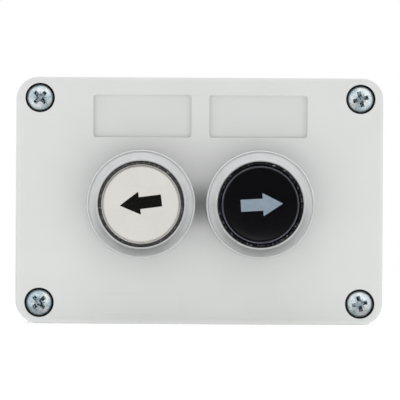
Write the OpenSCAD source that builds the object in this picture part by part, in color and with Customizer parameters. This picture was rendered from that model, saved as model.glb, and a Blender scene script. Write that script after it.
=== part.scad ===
// Double push button station for wall mounting, in millimetres.
// The station stands upright as it hangs: +X to the right, +Z up, the buttons face -Y.
// The origin is the middle of the back face, which lies on the wall.
// Every module below is drawn lying down, with x to the right, y up the wall and z out
// of the wall, and on_wall() turns the whole station upright.

/* [Enclosure] */
// Width of the enclosure
station_w = 101; // [96:1:130]
// Height of the enclosure
station_h = 68; // [64:1:90]
// Depth of the base, from the wall to the parting line
base_d = 38; // [32:1:60]
// Depth of the cover, from the parting line to the front face
cover_d = 14; // [12:1:20]
// Radius of the upright corners
corner_r = 5.7; // [5:0.1:7]
// Rounding of the front edge of the cover
front_edge_r = 1.8; // [1:0.1:2.2]
// Rounding of the back edge of the base
back_edge_r = 1.2; // [0.6:0.1:2]
// Chamfer on both sides of the parting line
parting_chamfer = 0.4; // [0.2:0.1:0.6]
// Thickness of the front plate
front_t = 2.6; // [2:0.1:3.2]
// Thickness of the back wall
back_t = 3; // [2:0.1:4]

/* [Cover seal] */
// Thickness of the wall outside the seal groove
seal_inset = 0.8; // [0.6:0.1:1.2]
// Width of the seal groove
seal_w = 1.4; // [1.2:0.1:1.8]
// Depth of the seal groove
seal_groove_d = 2.2; // [1.8:0.1:3]
// Thickness of the wall inside the seal groove
seal_rib = 0.8; // [0.6:0.1:1.2]
// Height of the cover's tongue that presses on the seal
tongue_h = 0.9; // [0.6:0.1:1.2]
// Side clearance of the seal and the tongue in the groove
seal_gap = 0.1; // [0.05:0.01:0.15]

/* [Cover screws] */
// Distance of a screw from the left or right side
screw_inset_x = 6.25; // [6:0.05:7]
// Distance of a screw from the top or bottom
screw_inset_y = 5.75; // [5.6:0.05:7]
// Thread diameter of the screws
screw_d = 4; // [3:0.5:4]
// Length of the screws under the head
screw_l = 25; // [20:1:30]
// Diameter of the screw heads
head_d = 7.3; // [6.8:0.1:7.4]
// Height of the screw heads
head_h = 2.5; // [2:0.1:3]
// Diameter of the recess round a head
head_recess_d = 8.1; // [7.8:0.1:8.4]
// Depth of a head's top below the front face
head_sink = 0.3; // [0:0.1:0.8]
// Length of the cross recess from end to end
cross_l = 4.1; // [3:0.1:4.6]
// Width of its arms
cross_w = 0.9; // [0.7:0.1:1.1]
// Depth of the cross recess
cross_d = 1.5; // [1:0.1:1.8]
// Radius of the round post that takes a screw
post_r = 4.7; // [4.4:0.1:5]

/* [Label recesses] */
// Width of a label recess
label_w = 27; // [20:0.5:28]
// Height of a label recess
label_h = 11.7; // [8:0.1:12]
// Depth of a label recess
label_d = 0.6; // [0.3:0.1:1]
// Corner radius of a label recess
label_r = 0.8; // [0.4:0.1:1.5]
// Distance between the middles of the two label recesses
label_pitch = 32; // [30:0.1:34]
// Height of the label recesses above the middle of the cover
label_rise = 23.3; // [23:0.1:24]

/* [Bare frame] */
// Width of the shallow bare frame at the lower left
frame_w = 22.6; // [16:0.1:26]
// Height of the bare frame
frame_h = 5.9; // [4:0.1:7]
// Width of its line
frame_line = 0.4; // [0.3:0.05:0.6]
// Depth of its line
frame_line_d = 0.12; // [0.1:0.02:0.3]
// Distance of the frame's middle to the left of the middle of the cover
frame_left = 16.2; // [14:0.1:18]
// Distance of the frame's middle below the middle of the cover
frame_drop = 28.3; // [28:0.1:28.6]

/* [Wall fixing] */
// Distance between the wall screws, left to right
wall_hole_pitch_x = 72; // [68:1:72]
// Distance between the wall screws, top to bottom
wall_hole_pitch_y = 40; // [30:1:40]
// Diameter of the holes for the wall screws
wall_hole_d = 5.8; // [5:0.1:6.4]
// Diameter of the boss round a wall hole
wall_boss_d = 10; // [8:0.5:11]
// Height of that boss above the back wall
wall_boss_h = 2; // [1:0.5:3]

/* [Cable knock-outs] */
// Diameter of a knock-out for a cable gland
knockout_d = 20.5; // [16:0.5:22]
// Width of the weak line round a knock-out
knockout_line = 1; // [0.8:0.1:1.4]
// Depth of that line
knockout_line_d = 1.2; // [0.6:0.1:1.4]

/* [Buttons] */
// Distance between the two buttons
button_pitch = 32.9; // [31:0.1:34]
// Distance of the buttons below the middle of the cover
button_drop = 1; // [0:0.1:1.5]
// Diameter of the hole in the front plate
panel_hole_d = 22.3; // [22.2:0.05:22.5]
// How far a button travels when it is pressed
press_travel = 4.2; // [3.5:0.1:4.2]
// Sliding clearance of a button, on each side
slide_gap = 0.15; // [0.1:0.01:0.2]

/* [Bezel] */
// Diameter of the bezel
bezel_d = 29.8; // [29:0.1:30]
// Height of the bezel above the front face
bezel_h = 10.2; // [10.2:0.1:11]
// Diameter of the opening in the bezel
bezel_opening_d = 23.8; // [23.6:0.1:24]
// Width of the rounded rim at the top of the outer wall
bezel_rim_w = 0.4; // [0.3:0.05:0.5]
// Width of the groove between rim and slope
bezel_groove_w = 0.3; // [0.2:0.05:0.4]
// Depth of that groove below the rim
bezel_groove_d = 0.4; // [0.2:0.1:0.8]
// Height of the crowned slope between groove and lip
bezel_slope_h = 1.4; // [1:0.1:2.5]
// How far the slope bulges out
bezel_crown = 0.08; // [0:0.02:0.16]
// Width of the lip round the opening
bezel_lip_w = 0.55; // [0.4:0.05:0.8]
// Thickness of the ledge that the collar presses on
bezel_ledge_t = 1.4; // [1.2:0.1:1.6]
// Thickness of the seal under the bezel
panel_seal_t = 1; // [0.8:0.1:1.2]

/* [Guide body] */
// Outside diameter of the threaded barrel
barrel_d = 22; // [21.8:0.05:22.1]
// Length of the barrel behind the front face
barrel_l = 12; // [11:0.5:14]
// Inside diameter of the barrel
barrel_bore_d = 18.3; // [18:0.1:18.6]
// Thickness of the barrel's floor
barrel_floor_t = 1.5; // [1.2:0.1:2]
// Depth of the collar's top below the bezel's lip
collar_sink = 1.8; // [1.5:0.1:3]
// Thickness of the flange under the collar
collar_flange_t = 0.8; // [0.6:0.1:1]
// Number of teeth round the top of the collar
collar_teeth = 44; // [24:1:60]
// Depth of the teeth
collar_tooth_d = 0.5; // [0.3:0.1:0.8]
// Thickness of the dust seal on the flange
dust_seal_t = 0.5; // [0.3:0.1:0.6]

/* [Button cap] */
// Diameter of the cap's face
cap_d = 21.9; // [21.4:0.1:22]
// Thickness of the cap's disc at its edge
cap_t = 1.6; // [1.4:0.1:1.8]
// Depth of the cap's edge below the bezel's lip
cap_sink = 0.4; // [0.2:0.1:0.6]
// Rounding of the cap's edge
cap_edge_r = 0.9; // [0.5:0.1:1.2]
// Depth of the hollow in the middle of the face
cap_dish = 0.6; // [0.3:0.1:0.7]
// Length of the cap's skirt below the disc
cap_skirt_l = 9; // [7:0.5:10]
// Thickness of the skirt
cap_skirt_t = 1.4; // [1:0.1:1.6]

/* [Arrow] */
// Length of the arrow from tip to tail
arrow_l = 11.6; // [8:0.1:13]
// Width of the arrow's head
arrow_head_w = 6.4; // [4:0.1:8]
// Length of the arrow's head
arrow_head_l = 5.5; // [4:0.1:6.5]
// Width of the arrow's tail
arrow_tail_w = 3.3; // [2:0.1:4]
// Depth to which the arrow is let in at the middle of the cap
arrow_t = 0.4; // [0.2:0.05:0.5]
// Turn of the left arrow, in degrees
left_arrow_turn = 7.5; // [-8:0.5:8]
// Turn of the right arrow, in degrees
right_arrow_turn = 3.5; // [-8:0.5:8]
// Shift of the left arrow towards its tip
left_arrow_shift = 0.1; // [-0.5:0.1:0.5]
// Shift of the right arrow towards its tip
right_arrow_shift = 0.4; // [-0.5:0.1:0.5]
// How far the left arrow sits above the middle of its cap
left_arrow_rise = 0.3; // [-0.5:0.1:0.5]
// Gap round the arrow in its pocket
arrow_gap = 0.02; // [0.01:0.01:0.05]

/* [Plunger and springs] */
// Diameter of the plunger's rod
rod_d = 8; // [7:0.1:8.4]
// How far the contact pusher stands out of its block
pusher_stand = 0.8; // [0.4:0.1:1]
// Thickness of the plunger's head
plunger_head_t = 3; // [2:0.5:4]
// Wire of the return spring
return_wire_d = 0.8; // [0.6:0.1:1]
// Middle diameter of the return spring
return_coil_d = 12.4; // [11.5:0.1:13]
// Turns of the return spring
return_turns = 6; // [4:1:7]
// Wire of the small springs in the contact block
small_wire_d = 0.5; // [0.4:0.05:0.6]
// Middle diameter of the small springs
small_coil_d = 4.2; // [3.8:0.1:4.4]
// Turns of the small springs
small_turns = 4; // [3:1:4]
// Air left between a spring and its seat
spring_gap = 0.1; // [0.05:0.01:0.2]

/* [Fixing nut and contact holder] */
// Distance across the flats of the fixing nut
nut_across = 26; // [25:0.5:27]
// Thickness of the fixing nut
nut_t = 5; // [4:0.1:5]
// Clearance between the barrel and what sits on it
barrel_gap = 0.05; // [0.03:0.01:0.1]
// Outside diameter of the contact holder
holder_d = 25; // [24.4:0.1:26]
// Length of the holder round the barrel
holder_grip = 3.6; // [2:0.1:3.8]
// Thickness of the holder's plate
holder_plate_t = 2.8; // [2:0.1:3.2]
// Length of the two arms that grip the contact block
holder_arm_l = 7; // [5:0.5:10]
// Thickness of the arms
holder_arm_t = 1.5; // [1.2:0.1:2]
// Width of the arms
holder_arm_w = 8.4; // [6:0.1:11]

/* [Contact block] */
// Width of the contact block
block_w = 12; // [11.6:0.1:14]
// Height of the contact block
block_h = 31.4; // [31.2:0.1:34]
// Depth of the contact block
block_d = 21.5; // [21.5:0.5:24]
// Thickness of its walls
block_wall = 1.5; // [1.2:0.1:1.6]
// Thickness of the contact strips
strip_t = 0.8; // [0.6:0.1:1]
// Width of the contact strips
strip_w = 5; // [4:0.1:5.4]
// Diameter of the contact rivets
rivet_d = 2.6; // [2:0.1:2.8]
// Height of the contact rivets
rivet_h = 0.6; // [0.4:0.1:0.8]
// Thread diameter of the terminal screws
terminal_d = 3.5; // [3:0.1:3.5]
// Head diameter of the terminal screws
terminal_head_d = 5; // [4.4:0.1:5.2]
// Height of the terminal screws' heads
terminal_head_t = 2; // [1.6:0.1:2.4]
// Gap between sliding or snapped parts of the contact block
block_gap = 0.1; // [0.05:0.01:0.15]

/* [Hidden] */
left = -1;
right = 1;
eps = 0.01;
past = 1;
slope_steps = 8;
dish_steps = 8;
wire_sides = 6;
wire_steps = 16;
$fn = 96;

// Colours
shell_grey = [0.84, 0.84, 0.83];
rubber_black = [0.08, 0.08, 0.08];
plastic_black = [0.06, 0.06, 0.07];
satin_metal = [0.74, 0.74, 0.75];
zinc = [0.66, 0.7, 0.74];
cap_white = [0.86, 0.85, 0.83];
arrow_grey = [0.56, 0.61, 0.67];
block_green = [0.1, 0.45, 0.3];
brass = [0.8, 0.65, 0.3];
spring_steel = [0.6, 0.6, 0.62];

// Enclosure, heights above the wall
front_z = base_d + cover_d;
wall = seal_inset + seal_w + seal_rib;
seal_h = seal_groove_d - tongue_h;

// Cover screws
screw_x = station_w / 2 - screw_inset_x;
screw_y = station_h / 2 - screw_inset_y;
head_bottom_z = front_z - head_sink - head_h;
head_dome_r = head_d;
thread_gap = 0.02;
screw_hole_gap = 0.2;
pilot_spare = 2;
pilot_end_z = head_bottom_z - screw_l - pilot_spare;
core_wall = 1.4;
core_web = 6;
core_d = 2 * (post_r - core_wall);
core_end_z = pilot_end_z - core_web;
screw_turns = [45, 43, 15, 12];

// Button axis, heights above the front face
panel_seal_inset = 1.1;
panel_seal_d = bezel_d - 2 * panel_seal_inset;
bezel_lift = 0.1;
bezel_round = 0.3;
bezel_bevel = 0.15;
bezel_lip_d = bezel_opening_d + 2 * bezel_lip_w;
bezel_rim_z = bezel_h - bezel_bevel - bezel_slope_h;
bezel_slope_r = bezel_d / 2 - bezel_rim_w - bezel_groove_w;
ledge_top_z = panel_seal_t + bezel_ledge_t;
flange_top_z = ledge_top_z + collar_flange_t;
collar_top_z = bezel_h - collar_sink;
collar_d = bezel_opening_d - 2 * barrel_gap;
cap_top_z = bezel_h - cap_sink;
disc_bottom_z = cap_top_z - cap_t;
cap_bore_d = cap_d + 2 * slide_gap;
skirt_d = barrel_bore_d - 2 * slide_gap;
skirt_bore_d = skirt_d - 2 * cap_skirt_t;
face_r = cap_d / 2 - cap_edge_r;
arrow_floor_z = cap_top_z - cap_dish - arrow_t;
plunger_seat_z = disc_bottom_z - plunger_head_t;
barrel_end_z = -barrel_l;
barrel_floor_z = barrel_end_z + barrel_floor_t;
rod_hole_d = rod_d + 2 * slide_gap;
key_w = 3;
key_out = 0.9;
key_root = 0.5;
key_end_gap = 0.2;

// Contact block, heights below the front face
block_top_z = barrel_end_z - holder_plate_t;
block_end_z = block_top_z - block_d;
block_round = 0.8;
chamber_w = block_w - 2 * block_wall;
chamber_h = block_h - 2 * block_wall;
chamber_top_z = block_top_z - block_wall;
back_top_z = block_end_z + block_wall;

// Terminals at both ends of the contact block, and the shelves that carry them
terminal_y = chamber_h / 2 - terminal_head_d / 2 - 2 * block_gap;
terminal_wall = 0.23;
terminal_cross_l = 3.5;
terminal_tip_gap = 0.3;
shelf_t = 4;
shelf_start_y = terminal_y - terminal_d / 2 - thread_gap - terminal_wall;
terminal_screw_l = shelf_t + strip_t - terminal_tip_gap;
back_side_gap = 0.3;
back_h = 2 * (terminal_y - terminal_head_d / 2 - back_side_gap);

// Bridge and fixed strips, which meet at the rivets
bridge_gap = 0.3;
bridge_end = 0.5;
bridge_h = 2 * (shelf_start_y - bridge_gap);
rivet_y = bridge_h / 2 - bridge_end - rivet_d / 2;
strip_rise = 4;
strip_end = 0.3;
strip_top_z = back_top_z + strip_rise;
strip_bottom_z = strip_top_z - strip_t;
strip_start_y = rivet_y - rivet_d / 2 - strip_end;
strip_l = chamber_h / 2 - block_gap - strip_start_y;
contact_spare = 0.1;
contact_gap = press_travel + contact_spare;
bridge_bottom_z = strip_top_z + 2 * rivet_h + contact_gap;
bridge_top_z = bridge_bottom_z + strip_t;

// Pusher, a block with a window for the bridge and a round stem
rod_end_z = block_top_z + pusher_stand;
pusher_side_gap = 0.35;
pusher_cheek_t = 1.25;
pusher_roof_t = 1.2;
pusher_floor_t = 1.6;
pusher_rest_gap = 0.6;
pusher_strip_gap = 0.8;
pusher_d = rod_hole_d - 2 * pusher_side_gap;
pusher_top_z = rod_end_z - block_gap;
pusher_block_top_z = chamber_top_z - pusher_rest_gap;
pusher_bottom_z = bridge_bottom_z - pusher_floor_t;
pusher_h = 2 * (strip_start_y - pusher_strip_gap);
window_w = strip_w + 2 * block_gap;
window_top_z = pusher_block_top_z - pusher_roof_t;
pusher_w = window_w + 2 * pusher_cheek_t;

// Turns a shape that is drawn lying down so that its back lies on the wall
module on_wall() {
    rotate([90, 0, 0]) children();
}

// Puts a shape on the axis of the left or right button, at the front face
module at_button(side) {
    on_wall()
        translate([side * button_pitch / 2, -button_drop, front_z])
            children();
}

module at_corners(x, y) {
    for (i = [-1, 1], j = [-1, 1])
        translate([i * x, j * y, 0]) children();
}

// Both ends of a contact block
module at_ends() {
    for (s = [-1, 1])
        scale([1, s, 1]) children();
}

module ring(outer_d, inner_d, h) {
    difference() {
        cylinder(d = outer_d, h = h);
        translate([0, 0, -past]) cylinder(d = inner_d, h = h + 2 * past);
    }
}

// Rectangle with rounded corners
module rounded_rect(w, h, r) {
    square([w - 2 * r, h], center = true);
    square([w, h - 2 * r], center = true);
    at_corners(w / 2 - r, h / 2 - r) circle(r);
}

// Slice of the enclosure's outline, set in from the outside
module outline_slice(z, inset, h = eps) {
    translate([0, 0, z])
        linear_extrude(h)
            rounded_rect(station_w - 2 * inset, station_h - 2 * inset, corner_r - inset, $fn = 48);
}

// Line that the cover seal follows, along the walls and inside the screw posts
module seal_outline(grow) {
    reach_x = screw_inset_x + post_r + grow;
    reach_y = screw_inset_y + post_r + grow;
    difference() {
        square([station_w, station_h] - 2 * (seal_inset + grow) * [1, 1], center = true);
        at_corners(screw_x, screw_y) circle(post_r + grow);
        at_corners(station_w / 2, station_h / 2) square([2 * screw_inset_x, 2 * reach_y], center = true);
        at_corners(station_w / 2, station_h / 2) square([2 * reach_x, 2 * screw_inset_y], center = true);
    }
}

module seal_ring(outer, inner, h) {
    linear_extrude(h)
        difference() {
            seal_outline(outer);
            seal_outline(inner);
        }
}

// Room inside the walls and the corner posts
module inside_room(h) {
    linear_extrude(h) seal_outline(seal_w + seal_rib);
}

module wall_holes(d, h) {
    at_corners(wall_hole_pitch_x / 2, wall_hole_pitch_y / 2) cylinder(d = d, h = h);
}

// Weak line round a knock-out in each end wall
module knockout_lines() {
    for (s = [-1, 1])
        translate([s * (station_w / 2 - knockout_line_d), 0, base_d / 2])
            rotate([0, s * 90, 0])
                ring(knockout_d, knockout_d - 2 * knockout_line, knockout_line_d + past);
}

module base() {
    color(shell_grey)
        on_wall()
            difference() {
                hull() {
                    for (a = [0 : 22.5 : 67.5])
                        outline_slice(back_edge_r * (1 - cos(a)), back_edge_r * (1 - sin(a)));
                    outline_slice(back_edge_r, 0, base_d - back_edge_r - parting_chamfer);
                    outline_slice(base_d - eps, parting_chamfer);
                }
                difference() {
                    translate([0, 0, back_t]) inside_room(base_d);
                    wall_holes(wall_boss_d, back_t + wall_boss_h);
                }
                translate([0, 0, base_d - seal_groove_d]) seal_ring(0, seal_w, seal_groove_d + past);
                translate([0, 0, -past]) wall_holes(wall_hole_d, back_t + wall_boss_h + 2 * past);
                at_corners(screw_x, screw_y) {
                    translate([0, 0, pilot_end_z]) cylinder(d = screw_d + 2 * thread_gap, h = base_d);
                    translate([0, 0, -past]) cylinder(d = core_d, h = core_end_z + past);
                }
                knockout_lines();
            }
}

module cover_block() {
    hull() {
        outline_slice(base_d, parting_chamfer);
        outline_slice(base_d + parting_chamfer, 0, cover_d - parting_chamfer - front_edge_r);
        for (a = [15 : 15 : 90])
            outline_slice(
                front_z - eps - front_edge_r * (1 - sin(a)),
                front_edge_r * (1 - cos(a)));
    }
}

module label_recess() {
    translate([0, label_rise, front_z - label_d])
        linear_extrude(label_d + past) rounded_rect(label_w, label_h, label_r);
}

module bare_frame() {
    translate([-frame_left, -frame_drop, front_z - frame_line_d])
        linear_extrude(frame_line_d + past)
            difference() {
                square([frame_w, frame_h], center = true);
                square([frame_w - 2 * frame_line, frame_h - 2 * frame_line], center = true);
            }
}

// Hole for a button, with the notch that stops it from turning
module button_hole() {
    cylinder(d = panel_hole_d, h = 2 * front_t + past);
    translate([-key_w / 2 - thread_gap, 0, 0])
        cube([key_w + 2 * thread_gap, barrel_d / 2 + key_out + 2 * thread_gap, 2 * front_t + past]);
}

module cover() {
    color(shell_grey)
        on_wall() {
            difference() {
                cover_block();
                translate([0, 0, base_d - past]) inside_room(cover_d - front_t + past);
                at_corners(screw_x, screw_y) {
                    translate([0, 0, base_d - past])
                        cylinder(d = screw_d + 2 * screw_hole_gap, h = cover_d + 2 * past);
                    translate([0, 0, head_bottom_z]) cylinder(d = head_recess_d, h = head_h + past);
                }
                for (s = [left, right]) {
                    translate([s * label_pitch / 2, 0, 0]) label_recess();
                    translate([s * button_pitch / 2, -button_drop, front_z - 2 * front_t]) button_hole();
                }
                bare_frame();
            }
            translate([0, 0, base_d - tongue_h])
                seal_ring(seal_gap, seal_w - seal_gap, tongue_h + eps);
        }
}

module cover_seal() {
    color(rubber_black)
        on_wall()
            translate([0, 0, base_d - seal_groove_d])
                seal_ring(seal_gap, seal_w - seal_gap, seal_h);
}

// Pan-head screw with a cross recess, its head bottom at height 0
module pan_screw(turn) {
    difference() {
        union() {
            intersection() {
                cylinder(d = head_d, h = head_h);
                translate([0, 0, head_h - head_dome_r]) sphere(head_dome_r);
            }
            translate([0, 0, -screw_l]) cylinder(d = screw_d, h = screw_l + eps);
        }
        rotate(turn)
            for (a = [0, 90])
                rotate(a)
                    translate([-cross_l / 2, -cross_w / 2, head_h - cross_d])
                        cube([cross_l, cross_w, cross_d + past]);
    }
}

module cover_screws() {
    color(zinc)
        on_wall()
            for (i = [0 : 3])
                let (sx = i < 2 ? left : right, sy = i % 2 == 0 ? 1 : -1)
                    translate([sx * screw_x, sy * screw_y, head_bottom_z])
                        pan_screw(screw_turns[i]);
}

// Turned metal ring round a button, with a rim, a fine groove, a crowned slope and a lip
function bezel_slope() =
    let (
        low = [bezel_slope_r, bezel_rim_z],
        high = [bezel_lip_d / 2, bezel_h - bezel_bevel],
        run = high - low,
        out = [run[1], -run[0]] / norm(run)
    )
    [for (t = [0 : 1 / slope_steps : 1]) low + t * run + 4 * t * (1 - t) * bezel_crown * out];

module bezel() {
    wall_r = bezel_d / 2;
    groove_r = wall_r - bezel_rim_w;
    groove_z = bezel_rim_z - bezel_groove_d;
    seat_r = panel_seal_d / 2 + seal_gap;
    hole_r = barrel_d / 2 + barrel_gap;
    color(satin_metal)
        rotate_extrude()
            polygon(concat(
                [[seat_r, bezel_lift], [wall_r - bezel_bevel, bezel_lift]],
                [[wall_r, bezel_lift + bezel_bevel]],
                [for (a = [0 : 30 : 90])
                    [wall_r, bezel_rim_z] - bezel_round * [1 - cos(a), 1 - sin(a)]],
                bezel_rim_w > bezel_round ? [[groove_r, bezel_rim_z]] : [],
                [[groove_r, groove_z], [bezel_slope_r, groove_z]],
                bezel_slope(),
                [[bezel_lip_d / 2 - bezel_bevel, bezel_h]],
                [[bezel_opening_d / 2 + bezel_bevel, bezel_h]],
                [[bezel_opening_d / 2, bezel_h - bezel_bevel]],
                [[bezel_opening_d / 2, ledge_top_z], [hole_r, ledge_top_z]],
                [[hole_r, panel_seal_t], [seat_r, panel_seal_t]]
            ));
}

module panel_seal() {
    color(rubber_black) ring(panel_seal_d, barrel_d + 2 * barrel_gap, panel_seal_t);
}

module guide_body() {
    collar_r = collar_d / 2;
    tooth_w = PI * cap_bore_d / collar_teeth / 2;
    color(plastic_black) {
        difference() {
            rotate_extrude()
                polygon([
                    [rod_hole_d / 2, barrel_end_z], [barrel_d / 2, barrel_end_z],
                    [barrel_d / 2, ledge_top_z], [collar_r, ledge_top_z],
                    [collar_r, collar_top_z], [cap_bore_d / 2, collar_top_z],
                    [cap_bore_d / 2, flange_top_z], [barrel_bore_d / 2, flange_top_z],
                    [barrel_bore_d / 2, barrel_floor_z], [rod_hole_d / 2, barrel_floor_z]
                ]);
            for (i = [0 : collar_teeth - 1])
                rotate(i * 360 / collar_teeth)
                    translate([cap_bore_d / 2 - past, -tooth_w / 2, collar_top_z - collar_tooth_d])
                        cube([collar_r, tooth_w, collar_tooth_d + past]);
        }
        translate([-key_w / 2, barrel_d / 2 - key_root, key_end_gap - front_t])
            cube([key_w, key_root + key_out, front_t - key_end_gap]);
    }
}

module dust_seal() {
    color(rubber_black)
        translate([0, 0, flange_top_z])
            ring(cap_bore_d - 2 * slide_gap, skirt_d + slide_gap, dust_seal_t);
}

// Hollow of the cap's face, from its middle to its rim
function dish_points() =
    [for (t = [0 : 1 / dish_steps : 1]) [face_r * t, cap_top_z - cap_dish * (1 - t * t)]];

module arrow_outline(grow) {
    head_x = arrow_l / 2 - arrow_head_l - grow;
    tail_x = -arrow_l / 2 - grow;
    tail_y = arrow_tail_w / 2 + grow;
    head_y = arrow_head_w / 2 + 2 * grow;
    polygon([
        [arrow_l / 2 + 2 * grow, 0], [head_x, head_y], [head_x, tail_y], [tail_x, tail_y],
        [tail_x, -tail_y], [head_x, -tail_y], [head_x, -head_y]
    ]);
}

module place_arrow(side) {
    turn = side == left ? 180 + left_arrow_turn : right_arrow_turn;
    shift = side == left ? left_arrow_shift : right_arrow_shift;
    rise = side == left ? left_arrow_rise : 0;
    translate([0, rise, 0]) rotate(turn) translate([shift, 0, 0]) children();
}

module cap(side) {
    color(side == left ? cap_white : plastic_black)
        difference() {
            rotate_extrude()
                polygon(concat(
                    [[0, disc_bottom_z]],
                    dish_points(),
                    [for (a = [75 : -15 : 0])
                        [face_r, cap_top_z - cap_edge_r] + cap_edge_r * [cos(a), sin(a)]],
                    [[cap_d / 2, disc_bottom_z], [skirt_d / 2, disc_bottom_z]],
                    [[skirt_d / 2, disc_bottom_z - cap_skirt_l]],
                    [[skirt_bore_d / 2, disc_bottom_z - cap_skirt_l]],
                    [[skirt_bore_d / 2, disc_bottom_z]]
                ));
            place_arrow(side)
                translate([0, 0, arrow_floor_z]) linear_extrude(cap_t) arrow_outline(arrow_gap);
        }
}

module arrow(side) {
    color(side == left ? plastic_black : arrow_grey)
        intersection() {
            place_arrow(side)
                translate([0, 0, arrow_floor_z]) linear_extrude(cap_t) arrow_outline(0);
            rotate_extrude()
                polygon(concat([[0, disc_bottom_z]], dish_points(), [[face_r, disc_bottom_z]]));
        }
}

module plunger() {
    color(plastic_black) {
        translate([0, 0, plunger_seat_z])
            cylinder(d = skirt_bore_d - 2 * barrel_gap, h = plunger_head_t);
        translate([0, 0, rod_end_z]) cylinder(d = rod_d, h = plunger_seat_z - rod_end_z + eps);
    }
}

// Points of one round of the wire, at an angle along the coil
function wire_round(coil_r, wire_r, angle, z) =
    [for (k = [0 : wire_sides - 1])
        let (b = 360 * k / wire_sides, r = coil_r + wire_r * cos(b))
            [r * cos(angle), r * sin(angle), z + wire_r * sin(b)]];

// Coil spring between two seats
module coil_spring(coil_d, wire_d, turns, low_z, high_z) {
    steps = wire_steps * turns;
    start_z = low_z + spring_gap + wire_d / 2;
    end_z = high_z - spring_gap - wire_d / 2;
    points = [for (i = [0 : steps])
        each wire_round(coil_d / 2, wire_d / 2, 360 * turns * i / steps,
            start_z + (end_z - start_z) * i / steps)];
    skin = [for (i = [0 : steps - 1], k = [0 : wire_sides - 1])
        let (n = (k + 1) % wire_sides, a = i * wire_sides, b = a + wire_sides)
            [a + k, a + n, b + n, b + k]];
    first_end = [[for (k = [wire_sides - 1 : -1 : 0]) k]];
    last_end = [[for (k = [0 : wire_sides - 1]) steps * wire_sides + k]];
    polyhedron(points, concat(skin, first_end, last_end));
}

module return_spring() {
    color(spring_steel)
        coil_spring(return_coil_d, return_wire_d, return_turns, barrel_floor_z, plunger_seat_z);
}

module fixing_nut() {
    across_corners = nut_across / cos(30);
    color(zinc)
        translate([0, 0, -front_t - nut_t])
            difference() {
                intersection() {
                    rotate(30) cylinder(d = across_corners, h = nut_t, $fn = 6);
                    cylinder(d1 = nut_across + 2 * nut_t, d2 = nut_across, h = nut_t);
                }
                translate([0, 0, -past]) cylinder(d = barrel_d + 2 * barrel_gap, h = nut_t + 2 * past);
            }
}

module contact_holder() {
    arm_y = block_h / 2 + block_gap;
    color(plastic_black)
        difference() {
            union() {
                translate([0, 0, block_top_z]) cylinder(d = holder_d, h = holder_plate_t + holder_grip);
                translate([-block_w / 2, -arm_y - holder_arm_t, block_top_z])
                    cube([block_w, 2 * (arm_y + holder_arm_t), holder_plate_t]);
                at_ends()
                    translate([-holder_arm_w / 2, arm_y, block_top_z - holder_arm_l])
                        cube([holder_arm_w, holder_arm_t, holder_arm_l + eps]);
            }
            translate([0, 0, barrel_end_z])
                cylinder(d = barrel_d + 2 * barrel_gap, h = holder_grip + past);
            translate([0, 0, block_top_z - past]) cylinder(d = rod_hole_d, h = holder_plate_t + 2 * past);
        }
}

module contact_housing() {
    color(block_green)
        difference() {
            translate([0, 0, block_end_z])
                linear_extrude(block_d) rounded_rect(block_w, block_h, block_round);
            difference() {
                translate([-chamber_w / 2, -chamber_h / 2, block_end_z - past])
                    cube([chamber_w, chamber_h, chamber_top_z - block_end_z + past]);
                at_ends()
                    translate([-block_w / 2, shelf_start_y, strip_top_z])
                        cube([block_w, block_h, shelf_t]);
            }
            translate([0, 0, chamber_top_z - past]) cylinder(d = rod_hole_d, h = block_wall + 2 * past);
            at_ends()
                translate([0, terminal_y, strip_top_z - past])
                    cylinder(d = terminal_d + 2 * thread_gap, h = shelf_t + past);
        }
}

module contact_back() {
    color(block_green)
        translate([block_gap - chamber_w / 2, -back_h / 2, block_end_z])
            cube([chamber_w - 2 * block_gap, back_h, block_wall]);
}

module contact_pusher() {
    color(plastic_black) {
        difference() {
            translate([-pusher_w / 2, -pusher_h / 2, pusher_bottom_z])
                cube([pusher_w, pusher_h, pusher_block_top_z - pusher_bottom_z]);
            translate([-window_w / 2, -pusher_h, bridge_bottom_z])
                cube([window_w, 2 * pusher_h, window_top_z - bridge_bottom_z]);
        }
        translate([0, 0, pusher_block_top_z - eps])
            cylinder(d = pusher_d, h = pusher_top_z - pusher_block_top_z + eps);
    }
}

module contact_bridge() {
    color(brass) {
        translate([-strip_w / 2, -bridge_h / 2, bridge_bottom_z]) cube([strip_w, bridge_h, strip_t]);
        at_ends()
            translate([0, rivet_y, bridge_bottom_z - rivet_h]) cylinder(d = rivet_d, h = rivet_h + eps);
    }
}

module contact_spring() {
    color(spring_steel)
        coil_spring(small_coil_d, small_wire_d, small_turns, bridge_top_z, window_top_z);
}

module pusher_spring() {
    color(spring_steel)
        coil_spring(small_coil_d, small_wire_d, small_turns, back_top_z, pusher_bottom_z);
}

module fixed_contacts() {
    color(brass)
        at_ends() {
            difference() {
                translate([-strip_w / 2, strip_start_y, strip_bottom_z]) cube([strip_w, strip_l, strip_t]);
                translate([0, terminal_y, strip_bottom_z - past])
                    cylinder(d = terminal_d + 2 * thread_gap, h = strip_t + 2 * past);
            }
            translate([0, rivet_y, strip_top_z - eps]) cylinder(d = rivet_d, h = rivet_h + eps);
        }
}

module terminal_screws() {
    color(zinc)
        at_ends()
            translate([0, terminal_y, strip_bottom_z]) {
                difference() {
                    translate([0, 0, -terminal_head_t]) cylinder(d = terminal_head_d, h = terminal_head_t);
                    for (a = [0, 90])
                        rotate(a)
                            translate([-terminal_cross_l / 2, -cross_w / 2, -terminal_head_t - past])
                                cube([terminal_cross_l, cross_w, past + terminal_head_t / 2]);
                }
                translate([0, 0, -eps]) cylinder(d = terminal_d, h = terminal_screw_l + eps);
            }
}

base();
cover();
cover_seal();
cover_screws();

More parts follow.
